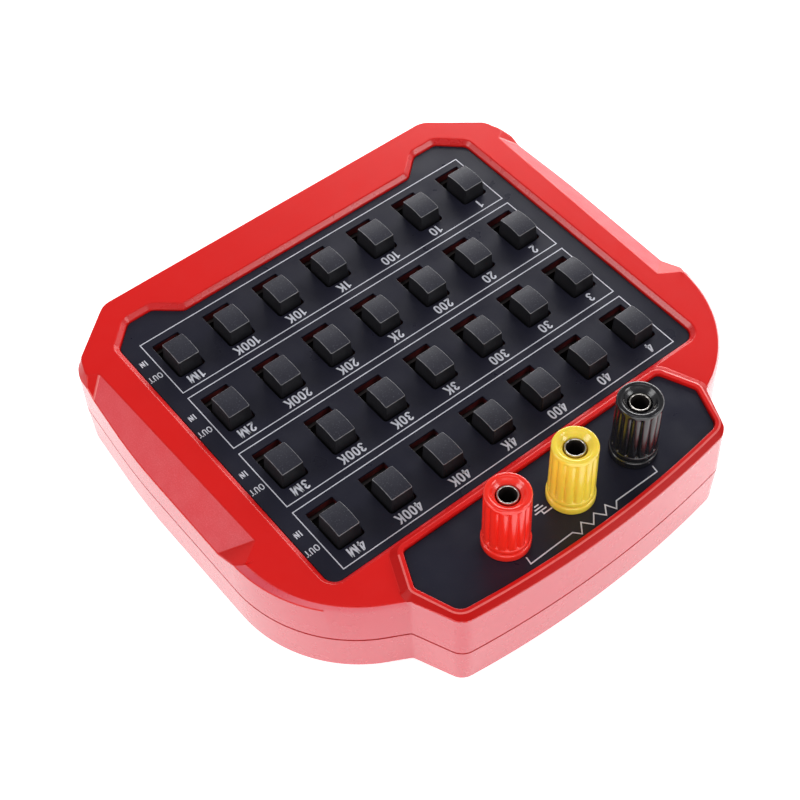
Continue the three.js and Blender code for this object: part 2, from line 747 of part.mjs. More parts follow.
// Fluted cap of one post, open right through, with a dish round the socket ring
function makePostCap(x) {
  const pointCount = fluteCount * fluteSteps;
  const ring = (diameter, depth) =>
    Array.from({ length: pointCount }, (_, i) => {
      const angle = (2 * Math.PI * i) / pointCount;
      const radius = diameter / 2 - (depth * (1 - Math.cos(fluteCount * angle))) / 2;
      return new THREE.Vector2(x + radius * Math.cos(angle), postRowY + radius * Math.sin(angle));
    });
  const diameterAt = (z) =>
    THREE.MathUtils.mapLinear(z, capFootZ, capTopZ, capFootDiameter, capTopDiameter);
  const bandZ = capFootZ + capFootHeight;
  const fluteZ = bandZ + capRimHeight;
  const fluteTopZ = capTopZ - capRimHeight;
  const body = loft([
    [capFootZ, ring(capFootDiameter, 0)],
    [bandZ, ring(diameterAt(bandZ), 0)],
    [fluteZ, ring(diameterAt(fluteZ), fluteDepth)],
    [fluteTopZ, ring(diameterAt(fluteTopZ), fluteDepth)],
    [capTopZ, ring(capTopDiameter - capShoulder, 0)],
  ]);
  const pocketZ = capFootZ + insertFoot + insertHeight + fitGap;
  const bore = turned(
    [
      [0, capFootZ - overrun],
      [insertDiameter + 2 * runningGap, capFootZ - overrun],
      [insertDiameter + 2 * runningGap, pocketZ],
      [capBoreDiameter, pocketZ],
      [capBoreDiameter, capTopZ - dishDepth],
      [capTopDiameter - 2 * capRimWidth - capShoulder, capTopZ],
      [capTopDiameter - 2 * capRimWidth - capShoulder, capTopZ + overrun],
      [0, capTopZ + overrun],
    ],
    x,
    postRowY,
  );
  return body.subtract(bore);
}

function makePostNut(x) {
  const highZ = ceilingZ - seatGap;
  const corners = nutFlats / Math.cos(Math.PI / nutSides);
  const hexagon = rod(corners, highZ - nutHeight, highZ, x, postRowY, nutSides);
  const holeDiameter = tailDiameter + 2 * fitGap;
  return hexagon.subtract(rod(holeDiameter, highZ - nutHeight - overrun, highZ + overrun, x, postRowY));
}

function makeHousingScrew(x, y) {
  const headZ = screwHeadDrop + screwHeadHeight;
  const body = turned(
    [
      [0, screwHeadDrop],
      [screwHeadDiameter, screwHeadDrop],
      [screwHeadDiameter, headZ],
      [screwDiameter, headZ],
      [screwDiameter, headZ + screwLength],
      [0, headZ + screwLength],
    ],
    x,
    y,
    screwSides,
  );
  const slotTopZ = screwHeadDrop + screwSlotDepth;
  const slots = [
    block(screwHeadDiameter / 2, screwSlotWidth, -overrun, slotTopZ, x, y),
    block(screwSlotWidth, screwHeadDiameter / 2, -overrun, slotTopZ, x, y),
  ];
  return cut(body, slots);
}

// Insulated lead that drops from a post's tail and comes up under the board
function makeLead(x) {
  const landingY = boardRearY - leadLanding;
  const lowZ = floorThickness + leadDip;
  const midY = (postRowY + landingY) / 2;
  const startZ = tailZ - fitGap;
  const endZ = boardZ - fitGap;
  const quarter = (postRowY - landingY) / 4;
  const route = new THREE.CatmullRomCurve3([
    new THREE.Vector3(x, postRowY, startZ),
    new THREE.Vector3(x, postRowY, startZ - leadDiameter),
    new THREE.Vector3(x, midY + quarter, lowZ + leadDiameter / 2),
    new THREE.Vector3(x, midY, lowZ),
    new THREE.Vector3(x, midY - quarter, lowZ + leadDiameter / 4),
    new THREE.Vector3(x, landingY, endZ - leadDiameter),
    new THREE.Vector3(x, landingY, endZ),
  ]);
  const section = new THREE.Shape(
    Array.from({ length: leadSides }, (_, i) => {
      const angle = (2 * Math.PI * i) / leadSides;
      return new THREE.Vector2((leadDiameter / 2) * Math.cos(angle), (leadDiameter / 2) * Math.sin(angle));
    }),
  );
  return solid(new THREE.ExtrudeGeometry(section, { steps: leadSteps, extrudePath: route }));
}

// Assembly
const box = new THREE.Group();

function addPiece(parent, name, geometry, finish) {
  const mesh = new THREE.Mesh(geometry, finish.clone());
  mesh.name = name;
  parent.add(mesh);
  return mesh;
}

addPiece(box, 'housing_top', geometryOf(makeHousingTop()), finishes.caseRed);
addPiece(box, 'housing_bottom', geometryOf(makeHousingBottom()), finishes.caseRed);
addPiece(box, 'switch_panel', geometryOf(makeSwitchPanel()), finishes.panelBlack);
addPiece(box, 'terminal_panel', geometryOf(makeTerminalPanel()), finishes.panelBlack);
addPiece(box, 'circuit_board', geometryOf(makeCircuitBoard()), finishes.boardGreen);
addPiece(box, 'resistor_chain', geometryOf(makeResistorChain()), finishes.resistorBlue);

const decadeEndings = ['', '0', '00', 'k', '0k', '00k', 'm'];
const sliderGeometry = geometryOf(makeSlider());
for (let row = 0; row < rows; row += 1) {
  addPiece(box, `switch_bank_${row + 1}`, geometryOf(makeSwitchBank(row)), finishes.frameGrey);
  for (let column = 0; column < columns; column += 1) {
    const name = `slider_${row + 1}${decadeEndings[column]}`;
    const slider = addPiece(box, name, sliderGeometry, finishes.sliderBlack);
    slider.position.set(columnX(column), rowY(row) + sliderRestY, 0);
  }
}

postNames.forEach((colour, post) => {
  const x = postX(post);
  addPiece(box, `post_base_${colour}`, geometryOf(makePostBase(x)), finishes[colour]);
  addPiece(box, `post_stud_${colour}`, geometryOf(makePostStud(x)), finishes.nickel);
  addPiece(box, `post_insert_${colour}`, geometryOf(makePostInsert(x)), finishes.brass);
  addPiece(box, `post_cap_${colour}`, geometryOf(makePostCap(x)), finishes[colour]);
  addPiece(box, `post_nut_${colour}`, geometryOf(makePostNut(x)), finishes.nickel);
  addPiece(box, `lead_${colour}`, geometryOf(makeLead(x)), finishes[colour]);
});

bossPlaces.forEach(([x, y], i) => {
  addPiece(box, `housing_screw_${i + 1}`, geometryOf(makeHousingScrew(x, y)), finishes.steel);
});

export default box;
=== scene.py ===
import json
import math

import bmesh
import bpy
from mathutils import Matrix, Vector


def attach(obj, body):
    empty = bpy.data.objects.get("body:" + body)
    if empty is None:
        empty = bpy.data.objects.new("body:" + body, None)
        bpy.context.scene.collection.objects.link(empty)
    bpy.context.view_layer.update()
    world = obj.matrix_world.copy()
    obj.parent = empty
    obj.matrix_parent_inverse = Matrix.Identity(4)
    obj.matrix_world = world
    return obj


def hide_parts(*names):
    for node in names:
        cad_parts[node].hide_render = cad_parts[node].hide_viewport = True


# Decade resistance box. Shapes are made in millimetres, in the frame of the CAD, and scaled once at the end.
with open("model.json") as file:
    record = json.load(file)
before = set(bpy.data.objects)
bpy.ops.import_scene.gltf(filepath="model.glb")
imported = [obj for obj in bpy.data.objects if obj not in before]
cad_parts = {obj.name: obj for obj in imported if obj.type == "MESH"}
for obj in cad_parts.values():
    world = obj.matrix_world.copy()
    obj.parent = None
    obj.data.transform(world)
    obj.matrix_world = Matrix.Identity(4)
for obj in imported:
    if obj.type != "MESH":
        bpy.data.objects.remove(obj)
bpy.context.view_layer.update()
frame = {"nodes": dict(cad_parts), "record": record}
scene = bpy.context.scene
MM = 0.001

# ---------------------------------------------------------------- camera
CAMERA_PLACE = (0.14469, 0.18598, 0.31765)
CAMERA_RIGHT = Vector((-0.78183, 0.62279, -0.02951))
CAMERA_DOWN = Vector((0.50946, 0.61084, -0.60607))
CAMERA_FORWARD = Vector((-0.35943, -0.48888, -0.79486))
FOCAL_LENGTH, FILM_WIDTH, NEAREST = 70.52, 36, 0.01
lens = bpy.data.cameras.new("photo_camera")
lens.lens = FOCAL_LENGTH
lens.sensor_width = FILM_WIDTH
lens.clip_start = NEAREST
camera = bpy.data.objects.new("photo_camera", lens)
scene.collection.objects.link(camera)
turn = Matrix((CAMERA_RIGHT, -CAMERA_DOWN, -CAMERA_FORWARD)).transposed()
camera.matrix_world = Matrix.Translation(CAMERA_PLACE) @ turn.to_4x4()
scene.camera = camera
scene.view_settings.view_transform = "Standard"


# ---------------------------------------------------------------- materials
def linked(tree, kind, **values):
    node = tree.nodes.new(kind)
    for key, value in values.items():
        setattr(node, key, value)
    return node


def put(tree, source, target):
    tree.links.new(source, target)


def noise(tree, vector, scale, detail=2.0, roughness=0.5):
    node = linked(tree, "ShaderNodeTexNoise")
    node.inputs["Scale"].default_value = scale
    node.inputs["Detail"].default_value = detail
    node.inputs["Roughness"].default_value = roughness
    put(tree, vector, node.inputs["Vector"])
    return node.outputs["Fac"]


def ramp(tree, source, low, high, out_low=0.0, out_high=1.0):
    node = linked(tree, "ShaderNodeMapRange")
    node.inputs["From Min"].default_value = low
    node.inputs["From Max"].default_value = high
    node.inputs["To Min"].default_value = out_low
    node.inputs["To Max"].default_value = out_high
    put(tree, source, node.inputs["Value"])
    return node.outputs["Result"]


def blend_colour(tree, factor, first, second):
    node = linked(tree, "ShaderNodeMix", data_type="RGBA")
    put(tree, factor, node.inputs["Factor"])
    for value, socket in ((first, node.inputs[6]), (second, node.inputs[7])):
        if isinstance(value, tuple):
            socket.default_value = (*value, 1)
        else:
            put(tree, value, socket)
    return node.outputs[2]


def finish(name, colour, rough, tint=None, patch=40, spread=0.05, grain=0.15, grain_scale=2500, depth=0.02,
           specks=None, speck_share=0.7, speck_scale=1500, stretch=(1, 1, 1), **values):
    """Moulded, printed or metal finish: patchy colour, uneven gloss, a fine grain and, where asked for, specks."""
    made = bpy.data.materials.new(name)
    made.use_nodes = True
    tree = made.node_tree
    shader = tree.nodes["Principled BSDF"]
    for key, value in values.items():
        shader.inputs[key.replace("_", " ")].default_value = value
    place = linked(tree, "ShaderNodeTexCoord").outputs["Object"]
    if stretch != (1, 1, 1):
        mapping = linked(tree, "ShaderNodeMapping")
        mapping.inputs["Scale"].default_value = stretch
        put(tree, place, mapping.inputs["Vector"])
        place = mapping.outputs["Vector"]
    second = tint or tuple(min(1, 0.82 * c) for c in colour)
    patches = ramp(tree, noise(tree, place, patch, 3), 0.35, 0.65)
    base = blend_colour(tree, patches, colour, second)
    if specks:
        spots = ramp(tree, noise(tree, place, speck_scale, 1), speck_share, speck_share + 0.06)
        base = blend_colour(tree, spots, base, specks)
    put(tree, base, shader.inputs["Base Color"])
    gloss = noise(tree, place, 6 * patch, 4)
    put(tree, ramp(tree, gloss, 0.3, 0.7, rough - spread, rough + spread), shader.inputs["Roughness"])
    bump = linked(tree, "ShaderNodeBump")
    bump.inputs["Strength"].default_value = grain
    bump.inputs["Distance"].default_value = depth * MM
    put(tree, noise(tree, place, grain_scale, 3, 0.6), bump.inputs["Height"])
    put(tree, bump.outputs["Normal"], shader.inputs["Normal"])
    return made


CASE_RED = (0.72, 0.0090, 0.0075)
mats = {
    "case_top": finish("case_top", CASE_RED, 0.32, (0.70, 0.0083, 0.0070), spread=0.02, grain=0.25, depth=0.03,
                       grain_scale=1800, IOR=1.45, Specular_IOR_Level=0.35),
    # case_wall: the red of case_top, painted pinker and bluer on the walls as a painted reflection of the pale floor.
    "case_wall": finish("case_wall", (0.68, 0.024, 0.052), 0.27, (0.67, 0.022, 0.049), spread=0.01, grain=0.06,
                        depth=0.02, grain_scale=1600, IOR=1.65, Coat_Weight=0.8, Coat_Roughness=0.25),
    # case_bevel: the tilted band round the rim, painted pinker than the top as a painted sheen.
    "case_bevel": finish("case_bevel", (0.70, 0.030, 0.032), 0.36, (0.67, 0.024, 0.026), grain=0.25, depth=0.03,
                         grain_scale=1700, IOR=1.6),
    "case_grip": finish("case_grip", (0.76, 0.013, 0.024), 0.50, (0.74, 0.024, 0.038), grain=0.8, depth=0.06,
                        grain_scale=2600, specks=(0.78, 0.038, 0.056), speck_share=0.55, speck_scale=3800,
                        IOR=1.6),
    # case_edge: a pale pink line on the lip's outer edge and the grip's front crease, a painted highlight.
    "case_edge": finish("case_edge", (0.88, 0.15, 0.14), 0.28, (0.84, 0.12, 0.11), grain=0.1),
    # case_slope: the slope round the raised platform, painted darker than the top as shade.
    "case_slope": finish("case_slope", (0.56, 0.0080, 0.0070), 0.34, (0.54, 0.0070, 0.0060), spread=0.02, grain=0.2,
                         Specular_IOR_Level=0.12),
    "case_seam": finish("case_seam", (0.42, 0.0060, 0.0090), 0.6, (0.36, 0.0050, 0.0075), grain=0.2,
                        Specular_IOR_Level=0.1),
    # Pinker sloped sides of the panel recess: a painted highlight.
    "recess_side_painted_highlight": finish("recess_side_painted_highlight", (0.72, 0.013, 0.015), 0.28, (0.70, 0.011, 0.013), spread=0.02, grain=0.2,
                          depth=0.03, grain_scale=1700, IOR=1.6),
    # Inside of the case and walls of the slots: the red plastic painted dark as shade.
    "case_inside_painted_shade": finish("case_inside_painted_shade", (0.115, 0.0085, 0.008), 0.5, (0.085, 0.006, 0.006), patch=160, grain=0.4),
    # Near-black on some slot walls: painted shade.
    "slot_painted_shade": finish("slot_painted_shade", (0.010, 0.006, 0.006), 0.6, (0.006, 0.004, 0.004), grain=0.4),
    "panel": finish("panel", (0.0150, 0.0150, 0.0280), 0.32, (0.0132, 0.0132, 0.0255), patch=25, grain=0.35,
                    depth=0.012, grain_scale=2200, specks=(0.020, 0.0205, 0.031), speck_share=0.70, speck_scale=2600,
                    Specular_IOR_Level=0.3),
    "ink": finish("ink", (0.66, 0.67, 0.74), 0.5, (0.57, 0.58, 0.65), patch=900, grain=0.3, depth=0.01),
    # The lever sides (slider) are painted darker than the tops (slider_top), as shade; the tops' specks are scuffs.
    "slider": finish("slider", (0.0085, 0.0085, 0.0105), 0.45, (0.0070, 0.0070, 0.0090), patch=300, grain=0.5,
                     depth=0.03, grain_scale=2600, Specular_IOR_Level=0.35),
    "slider_top": finish("slider_top", (0.018, 0.018, 0.030), 0.5, (0.0145, 0.0145, 0.025), patch=240, grain=0.6,
                         depth=0.03, grain_scale=2600, specks=(0.036, 0.036, 0.050), speck_share=0.62,
                         speck_scale=2600, Specular_IOR_Level=0.3),
    # Light grey rounded edges of the lever tops: wear and a painted highlight.
    "slider_edge_wear_and_highlight": finish("slider_edge_wear_and_highlight", (0.21, 0.21, 0.225), 0.5, (0.10, 0.10, 0.11), patch=700, grain=0.4),
    "post_black": finish("post_black", (0.0070, 0.0070, 0.0090), 0.21, (0.0060, 0.0060, 0.0080), spread=0.02,
                         grain=0.05, patch=120, IOR=1.65),
    "post_yellow": finish("post_yellow", (1.0, 0.75, 0.075), 0.17, (0.99, 0.71, 0.062), spread=0.02, grain=0.05,
                          patch=120, IOR=1.65, Subsurface_Weight=0.15, Subsurface_Scale=0.003),
    "post_red": finish("post_red", (1.0, 0.028, 0.014), 0.17, (0.98, 0.022, 0.011), spread=0.02, grain=0.05,
                       patch=120, IOR=1.65, Subsurface_Weight=0.08, Subsurface_Scale=0.002),
    "nickel": finish("nickel", (0.78, 0.74, 0.69), 0.2, (0.70, 0.66, 0.61), patch=500, stretch=(1, 1, 0.15),
                     grain=0.3, depth=0.01, Metallic=1.0),
    # Dark inside of the stud's bore: the nickel painted dark as shade.
    "bore": finish("bore", (0.055, 0.045, 0.042), 0.5, (0.035, 0.028, 0.026), patch=400, stretch=(1, 1, 0.15),
                   grain=0.4, depth=0.02, Metallic=0.7),
    "brass": finish("brass", (0.72, 0.50, 0.19), 0.28, (0.62, 0.42, 0.15), patch=600, stretch=(1, 1, 0.2), grain=0.4,
                    depth=0.02, Metallic=1.0),
    "steel": finish("steel", (0.42, 0.42, 0.44), 0.34, (0.34, 0.34, 0.36), patch=700, grain=0.4, depth=0.02,
                    Metallic=1.0),
    "board": finish("board", (0.018, 0.13, 0.045), 0.35, (0.03, 0.19, 0.07), patch=260, grain=0.4, grain_scale=900),
    "switch_frame": finish("switch_frame", (0.16, 0.15, 0.15), 0.45, (0.12, 0.11, 0.11), patch=500, grain=0.3,
                           stretch=(0.2, 1, 1), Metallic=1.0),
    "resistor": finish("resistor", (0.06, 0.24, 0.42), 0.36, (0.10, 0.32, 0.50), patch=700, grain=0.2),
}
for colour in ("black", "yellow", "red"):
    mats["lead_" + colour] = mats["post_" + colour].copy()
    mats["lead_" + colour].name = "lead_" + colour

# CAD nodes that stay keep their shape and get their slot's finish
SLOTS = {part["node"]: part["material_slot"] for part in frame["record"]["subparts"]}
for node, obj in frame["nodes"].items():
    slot = SLOTS[node]
    obj.data.materials.clear()
    obj.data.materials.append(mats["case_top" if slot == "case" else slot])


# ---------------------------------------------------------------- outlines
def rounded(corners, error=0.01):
    """Closed outline with rounded corners, from (x, y, radius) corners that run counter-clockwise."""
    count = len(corners)
    at = [Vector(corner[:2]) for corner in corners]
    heading = [at[(i + 1) % count] - at[i] for i in range(count)]
    bend = []
    for i in range(count):
        before, after = heading[i - 1], heading[i]
        bend.append(math.atan2(before.x * after.y - before.y * after.x, before.dot(after)))
    wanted = [corners[i][2] * abs(math.tan(bend[i] / 2)) for i in range(count)]
    points = []
    for i, (_, _, radius) in enumerate(corners):
        if not radius or abs(bend[i]) < 0.01:
            points.append(at[i].copy())
            continue
        room_after = 0.98 * heading[i].length / (wanted[i] + wanted[(i + 1) % count])
        room_before = 0.98 * heading[i - 1].length / (wanted[i] + wanted[i - 1])
        fit = min(1, room_after, room_before)
        back = heading[i - 1].normalized()
        start = at[i] - back * wanted[i] * fit
        centre = start + Vector((-back.y, back.x)) * math.copysign(radius * fit, bend[i])
        spoke = start - centre
        steps = max(2, math.ceil(abs(bend[i]) / math.sqrt(8 * error / radius)))
        for step in range(steps + 1):
            angle = bend[i] * step / steps
            cos, sin = math.cos(angle), math.sin(angle)
            points.append(centre + Vector((spoke.x * cos - spoke.y * sin, spoke.x * sin + spoke.y * cos)))
    return points


def symmetric(half):
    """Closed outline from the corners of its +x half."""
    return rounded(half + [(-x, y, radius) for x, y, radius in reversed(half) if x > 0])


def crowned(half, corner_y, rise, radius, steps=14):
    """Half of an edge that bulges outwards, from its rounded corner to the middle."""
    shares = [1 - step / steps for step in range(steps + 1)]
    return [(half * s, corner_y + rise * (1 - s * s), radius if s == 1 else 0) for s in shares]


def inset(outline, distance):
    """The outline moved inwards, by one distance or by one for each point."""
    count = len(outline)
    normals = []
    for i in range(count):
        along = (outline[(i + 1) % count] - outline[i]).normalized()
        normals.append(Vector((-along.y, along.x)))
    moved = []
    for i, point in enumerate(outline):
        far = distance(point) if callable(distance) else distance
        moved.append(point + (normals[i - 1] + normals[i]) * far / (1 + normals[i - 1].dot(normals[i])))
    return moved


def rectangle(width, length, x=0.0, y=0.0, radius=0.0):
    corners = [(x + a * width / 2, y + b * length / 2, radius) for a, b in ((-1, -1), (1, -1), (1, 1), (-1, 1))]
    return rounded(corners, 0.02)


def circle(diameter, x, y, sides=48):
    angles = [2 * math.pi * i / sides for i in range(sides)]
    return [Vector((x + diameter / 2 * math.cos(a), y + diameter / 2 * math.sin(a))) for a in angles]


# ---------------------------------------------------------------- solids
def new_piece(name, verts, faces, materials=()):
    mesh = bpy.data.meshes.new(name)
    mesh.from_pydata([tuple(v) for v in verts], [], faces)
    for key in materials:
        mesh.materials.append(mats[key])
    obj = bpy.data.objects.new(name, mesh)
    scene.collection.objects.link(obj)
    return obj


def loft(name, rings, materials=()):
    """Closed solid through (z, outline) rings, lowest first."""
    count = len(rings[0][1])
    verts = [(p.x, p.y, z) for z, outline in rings for p in outline]
    faces = [tuple(range(count - 1, -1, -1))]
    for ring in range(len(rings) - 1):
        for i in range(count):
            a, b = ring * count + i, ring * count + (i + 1) % count
            faces.append((a, b, b + count, a + count))
    top = (len(rings) - 1) * count
    faces.append(tuple(range(top, top + count)))
    return new_piece(name, verts, faces, materials)


def plate(name, outline, low, high, materials=()):
    return loft(name, [(low, outline), (high, outline)], materials)


def settle(obj):
    """Turns the modifiers of an object into its mesh."""
    graph = bpy.context.evaluated_depsgraph_get()
    mesh = bpy.data.meshes.new_from_object(obj.evaluated_get(graph))
    old = obj.data
    obj.modifiers.clear()
    obj.data = mesh
    bpy.data.meshes.remove(old)
    mesh.name = obj.name


def combine(obj, others, operation="DIFFERENCE"):
    group = bpy.data.collections.new("operands")
    for other in others:
        group.objects.link(other)
    step = obj.modifiers.new("combine", "BOOLEAN")
    step.operation = operation
    step.solver = "EXACT"
    step.material_mode = "TRANSFER"
    step.operand_type = "COLLECTION"
    step.collection = group
    settle(obj)
    for other in others:
        mesh = other.data
        bpy.data.objects.remove(other)
        bpy.data.meshes.remove(mesh)
    bpy.data.collections.remove(group)


LEAST_BEVEL_ANGLE = math.radians(22)


def soften(obj, width, choose, segments=3, material=-1):
    """Rounds the edges that choose() gives a weight above zero."""
    bm = bmesh.new()
    bm.from_mesh(obj.data)
    bmesh.ops.dissolve_degenerate(bm, dist=0.002, edges=bm.edges)
    old = bm.edges.layers.float.get("bevel_weight_edge")
    layer = old or bm.edges.layers.float.new("bevel_weight_edge")
    for edge in bm.edges:
        edge[layer] = 0
        if len(edge.link_faces) == 2 and edge.calc_face_angle(0) > LEAST_BEVEL_ANGLE:
            edge[layer] = choose(edge)
    bm.to_mesh(obj.data)
    bm.free()
    step = obj.modifiers.new("edges", "BEVEL")
    step.limit_method = "WEIGHT"
    step.width = width
    step.segments = segments
    step.use_clamp_overlap = False
    step.loop_slide = True
    step.material = material
    settle(obj)


def smooth(obj, angle=32, weighted=True):
    """Smooth shading inside each rounded run, crisp where faces meet at more than the angle."""
    bm = bmesh.new()
    bm.from_mesh(obj.data)
    for face in bm.faces:
        face.smooth = True
    for edge in bm.edges:
        edge.smooth = len(edge.link_faces) == 2 and edge.calc_face_angle(0) < math.radians(angle)
    bm.to_mesh(obj.data)
    bm.free()
    if weighted:
        step = obj.modifiers.new("normals", "WEIGHTED_NORMAL")
        step.keep_sharp = True
        step.weight = 100
        step.thresh = 0.01


def place(obj, body, slot, *nodes):
    obj.data.transform(Matrix.Scale(MM, 4))
    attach(obj, body)
    if nodes:
        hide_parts(*nodes)
    return obj


def lathe(name, section, x, y, sides=64, material=None, radius=None):
    """Closed body turned from (radius, z) points; a section that starts and ends on the axis is capped there."""
    verts, rings = [], []
    for r, z in section:
        if r == 0:
            rings.append([len(verts)])
            verts.append((x, y, z))
            continue
        rings.append(range(len(verts), len(verts) + sides))
        for i in range(sides):
            angle = 2 * math.pi * i / sides
            far = radius(r, z, angle) if radius else r
            verts.append((x + far * math.cos(angle), y + far * math.sin(angle), z))
    pairs = list(zip(rings, rings[1:]))
    if len(rings[0]) > 1:
        pairs.append((rings[-1], rings[0]))
    faces = []
    for low, high in pairs:
        for i in range(sides):
            j = (i + 1) % sides
            corners = [low[i % len(low)], low[j % len(low)], high[j % len(high)], high[i % len(high)]]
            faces.append(tuple(dict.fromkeys(corners)))
    return new_piece(name, verts, faces, (material,) if material else ())


# ---------------------------------------------------------------- sizes, as in the CAD
RAIL, RIM, LIP = 12.5, 25.5, 26.9
PANEL_FACE, PANEL_SEAT, CEILING = 24.0, 23.4, 21.4
TERMINAL_FACE, TERMINAL_SEAT = 26.0, 25.4
COLUMN_PITCH, ROW_PITCH, FIRST_ROW = 14.83, 21.0, -39.85
SLOT_WIDTH, SLOT_LENGTH = 7.6, 12.5
POST_Y, POST_PITCH = 51.6, 19.05
POSTS = {"black": -POST_PITCH, "yellow": 0.0, "red": POST_PITCH}
TAB_ROOT, TAB_SHIFT = 50.4, 0.35
LIP_WIDTH, LIP_SLOPE = 1.2, 2.1
ENDINGS = ["", "0", "00", "k", "0k", "00k", "m"]
COLUMNS = [(i - 3) * COLUMN_PITCH for i in range(7)]
ROWS = [FIRST_ROW + i * ROW_PITCH for i in range(4)]
SWITCHES = [(row, column) for row in range(4) for column in range(7)]

SCREW_X, SCREW_ROWS = 56.49, (-43.05, 27.95)
POST_HOLE = 8.2

CASE = symmetric([
    (50.99, -65, 6), (66.99, -51.8, 9), (69.19, -24, 200), (68.29, 38.6, 36), (44.6, 50.4, 1.2),
    *crowned(39.5, 61.9, 3.1, 4.6),
])
CASE = [Vector((p.x + (TAB_SHIFT if p.y > 49.6 else 0), p.y)) for p in CASE]
PANEL = symmetric([
    (35.6, -50.6, 2.2), (41.8, -56, 2.2), (48.8, -56, 2.2), (54.89, -50.1, 2.2), (54.89, 35.8, 3),
])
TERMINAL = symmetric([(38.3, 39.6, 1.5), (42.2, 48.6, 1.5), *crowned(38.2, 59.1, 2.8, 3)])
BOSSES = [(a * SCREW_X, y) for a in (-1, 1) for y in SCREW_ROWS]


def bevel_at(point):
    """Width of the bevel round the rim: narrow in front, full along the sides, dying out towards the tab."""
    rear = min(1, max(0, (point.y - 20.6) / (TAB_ROOT - 20.6)))
    front = min(1, max(0, (-51.5 - point.y) / 3))
    return 0 if point.y > TAB_ROOT else 1.6 - 1.3 * rear - 1.0 * front


# ---------------------------------------------------------------- upper shell
def grip_cutter(side):
    quad = [Vector(p) for p in ((0, 0), (9.1, 5.383), (9.1, 56.504), (0, 62.4))]
    wide = inset(quad, -5.1)
    cutter = loft("grip", [(0, quad), (3, wide), (5, wide), (8, quad)], ("case_grip", "case_top"))
    for index, face in enumerate(cutter.data.polygons):
        face.material_index = 0 if index == 0 else 1
    turned = Matrix.Rotation(math.atan2(1.6, 62.4), 4, "Z") @ Matrix.Rotation(math.radians(35), 4, "Y")
    cutter.data.transform(Matrix.Translation((62.89, -46, RIM)) @ turned)
    if side < 0:
        cutter.data.transform(Matrix.Scale(-1, 4, (1, 0, 0)))
        cutter.data.flip_normals()
    return cutter


def slot_outline(x, y, margin=0.0):
    """Opening of one slot, its corners rounder at the OUT end."""
    width, length = SLOT_WIDTH / 2 - margin, SLOT_LENGTH / 2 - margin
    return rounded([(x - width, y - length, 0.3), (x + width, y - length, 0.3), (x + width, y + length, 0.8),
                    (x - width, y + length, 0.8)], 0.02)


def slot_cutters(low, high, margin, material):
    cutters = [plate("slot", slot_outline(COLUMNS[c], ROWS[r], margin), low, high, (material, "slot_painted_shade"))
               for r, c in SWITCHES]
    for cutter in cutters:
        for face in cutter.data.polygons:
            # Slot walls whose cutter faces point to -x or -y take the given material; the others get the near-black
            # painted shade.
            face.material_index = 0 if material == "panel" or min(face.normal.x, face.normal.y) < -0.5 else 1
    return cutters


CASE_FINISHES = ("case_top", "case_wall", "case_grip", "case_edge", "case_inside_painted_shade", "case_bevel", "slot_painted_shade",
                 "recess_side_painted_highlight", "case_slope", "case_seam")
TOP, WALL, EDGE, BEVEL, SLOPE, SEAM = (CASE_FINISHES.index("case_" + name)
                                       for name in ("top", "wall", "edge", "bevel", "slope", "seam"))
top = loft("case_top", [
    (RAIL, CASE), (RIM - 1.8, inset(CASE, 0.3)), (RIM, inset(CASE, lambda p: 0.3 + bevel_at(p))),
], CASE_FINISHES)
raised = loft("platform", [
    (RIM - 1, inset(TERMINAL, -LIP_WIDTH - LIP_SLOPE)), (RIM, inset(TERMINAL, -LIP_WIDTH - LIP_SLOPE)),
    (LIP, inset(TERMINAL, -LIP_WIDTH)),
], ("case_top",))
combine(raised, [plate("bound", inset(CASE, 0.33), RAIL, LIP + 2, ("case_top",))], "INTERSECT")
combine(top, [raised], "UNION")
recess = loft("recess", [
    (PANEL_SEAT, inset(PANEL, -0.1)), (PANEL_FACE + 0.35, inset(PANEL, -0.1)),
    (RIM, inset(PANEL, -1.35)), (RIM + 2, inset(PANEL, -1.35)),
], ("case_top", "recess_side_painted_highlight"))
for face in recess.data.polygons:
    # The sloped sides of the recess, all but the +x side, get the second material, painted pinker as a highlight.
    face.material_index = 1 if 0.2 < -face.normal.z < 0.95 and face.normal.x < 0.5 else 0
pocket = plate("pocket", inset(TERMINAL, -0.1), TERMINAL_SEAT, LIP + 2, ("case_top",))
combine(top, [recess, pocket])
combine(top, [loft("cavity", [(RAIL - 2, inset(CASE, 2.4)), (CEILING, inset(CASE, 2.7))], ("case_inside_painted_shade",))])
combine(top, [plate("rebate", inset(CASE, 1.1), RAIL - 2, 13.7, ("case_inside_painted_shade",))])
combine(top, [grip_cutter(1), grip_cutter(-1)])
combine(top, slot_cutters(CEILING - 2, PANEL_SEAT + 2, -0.12, "case_inside_painted_shade"))
combine(top, [plate("hole", circle(POST_HOLE, x, POST_Y), CEILING - 2, LIP + 2, ("case_inside_painted_shade",))
              for x in POSTS.values()])
combine(top, [plate("boss", circle(7, x, y), 13.7, CEILING + 1, ("case_inside_painted_shade",)) for x, y in BOSSES], "UNION")
combine(top, [plate("pilot", circle(3.6, x, y, 24), RAIL - 2, 19.6, ("case_inside_painted_shade",)) for x, y in BOSSES])


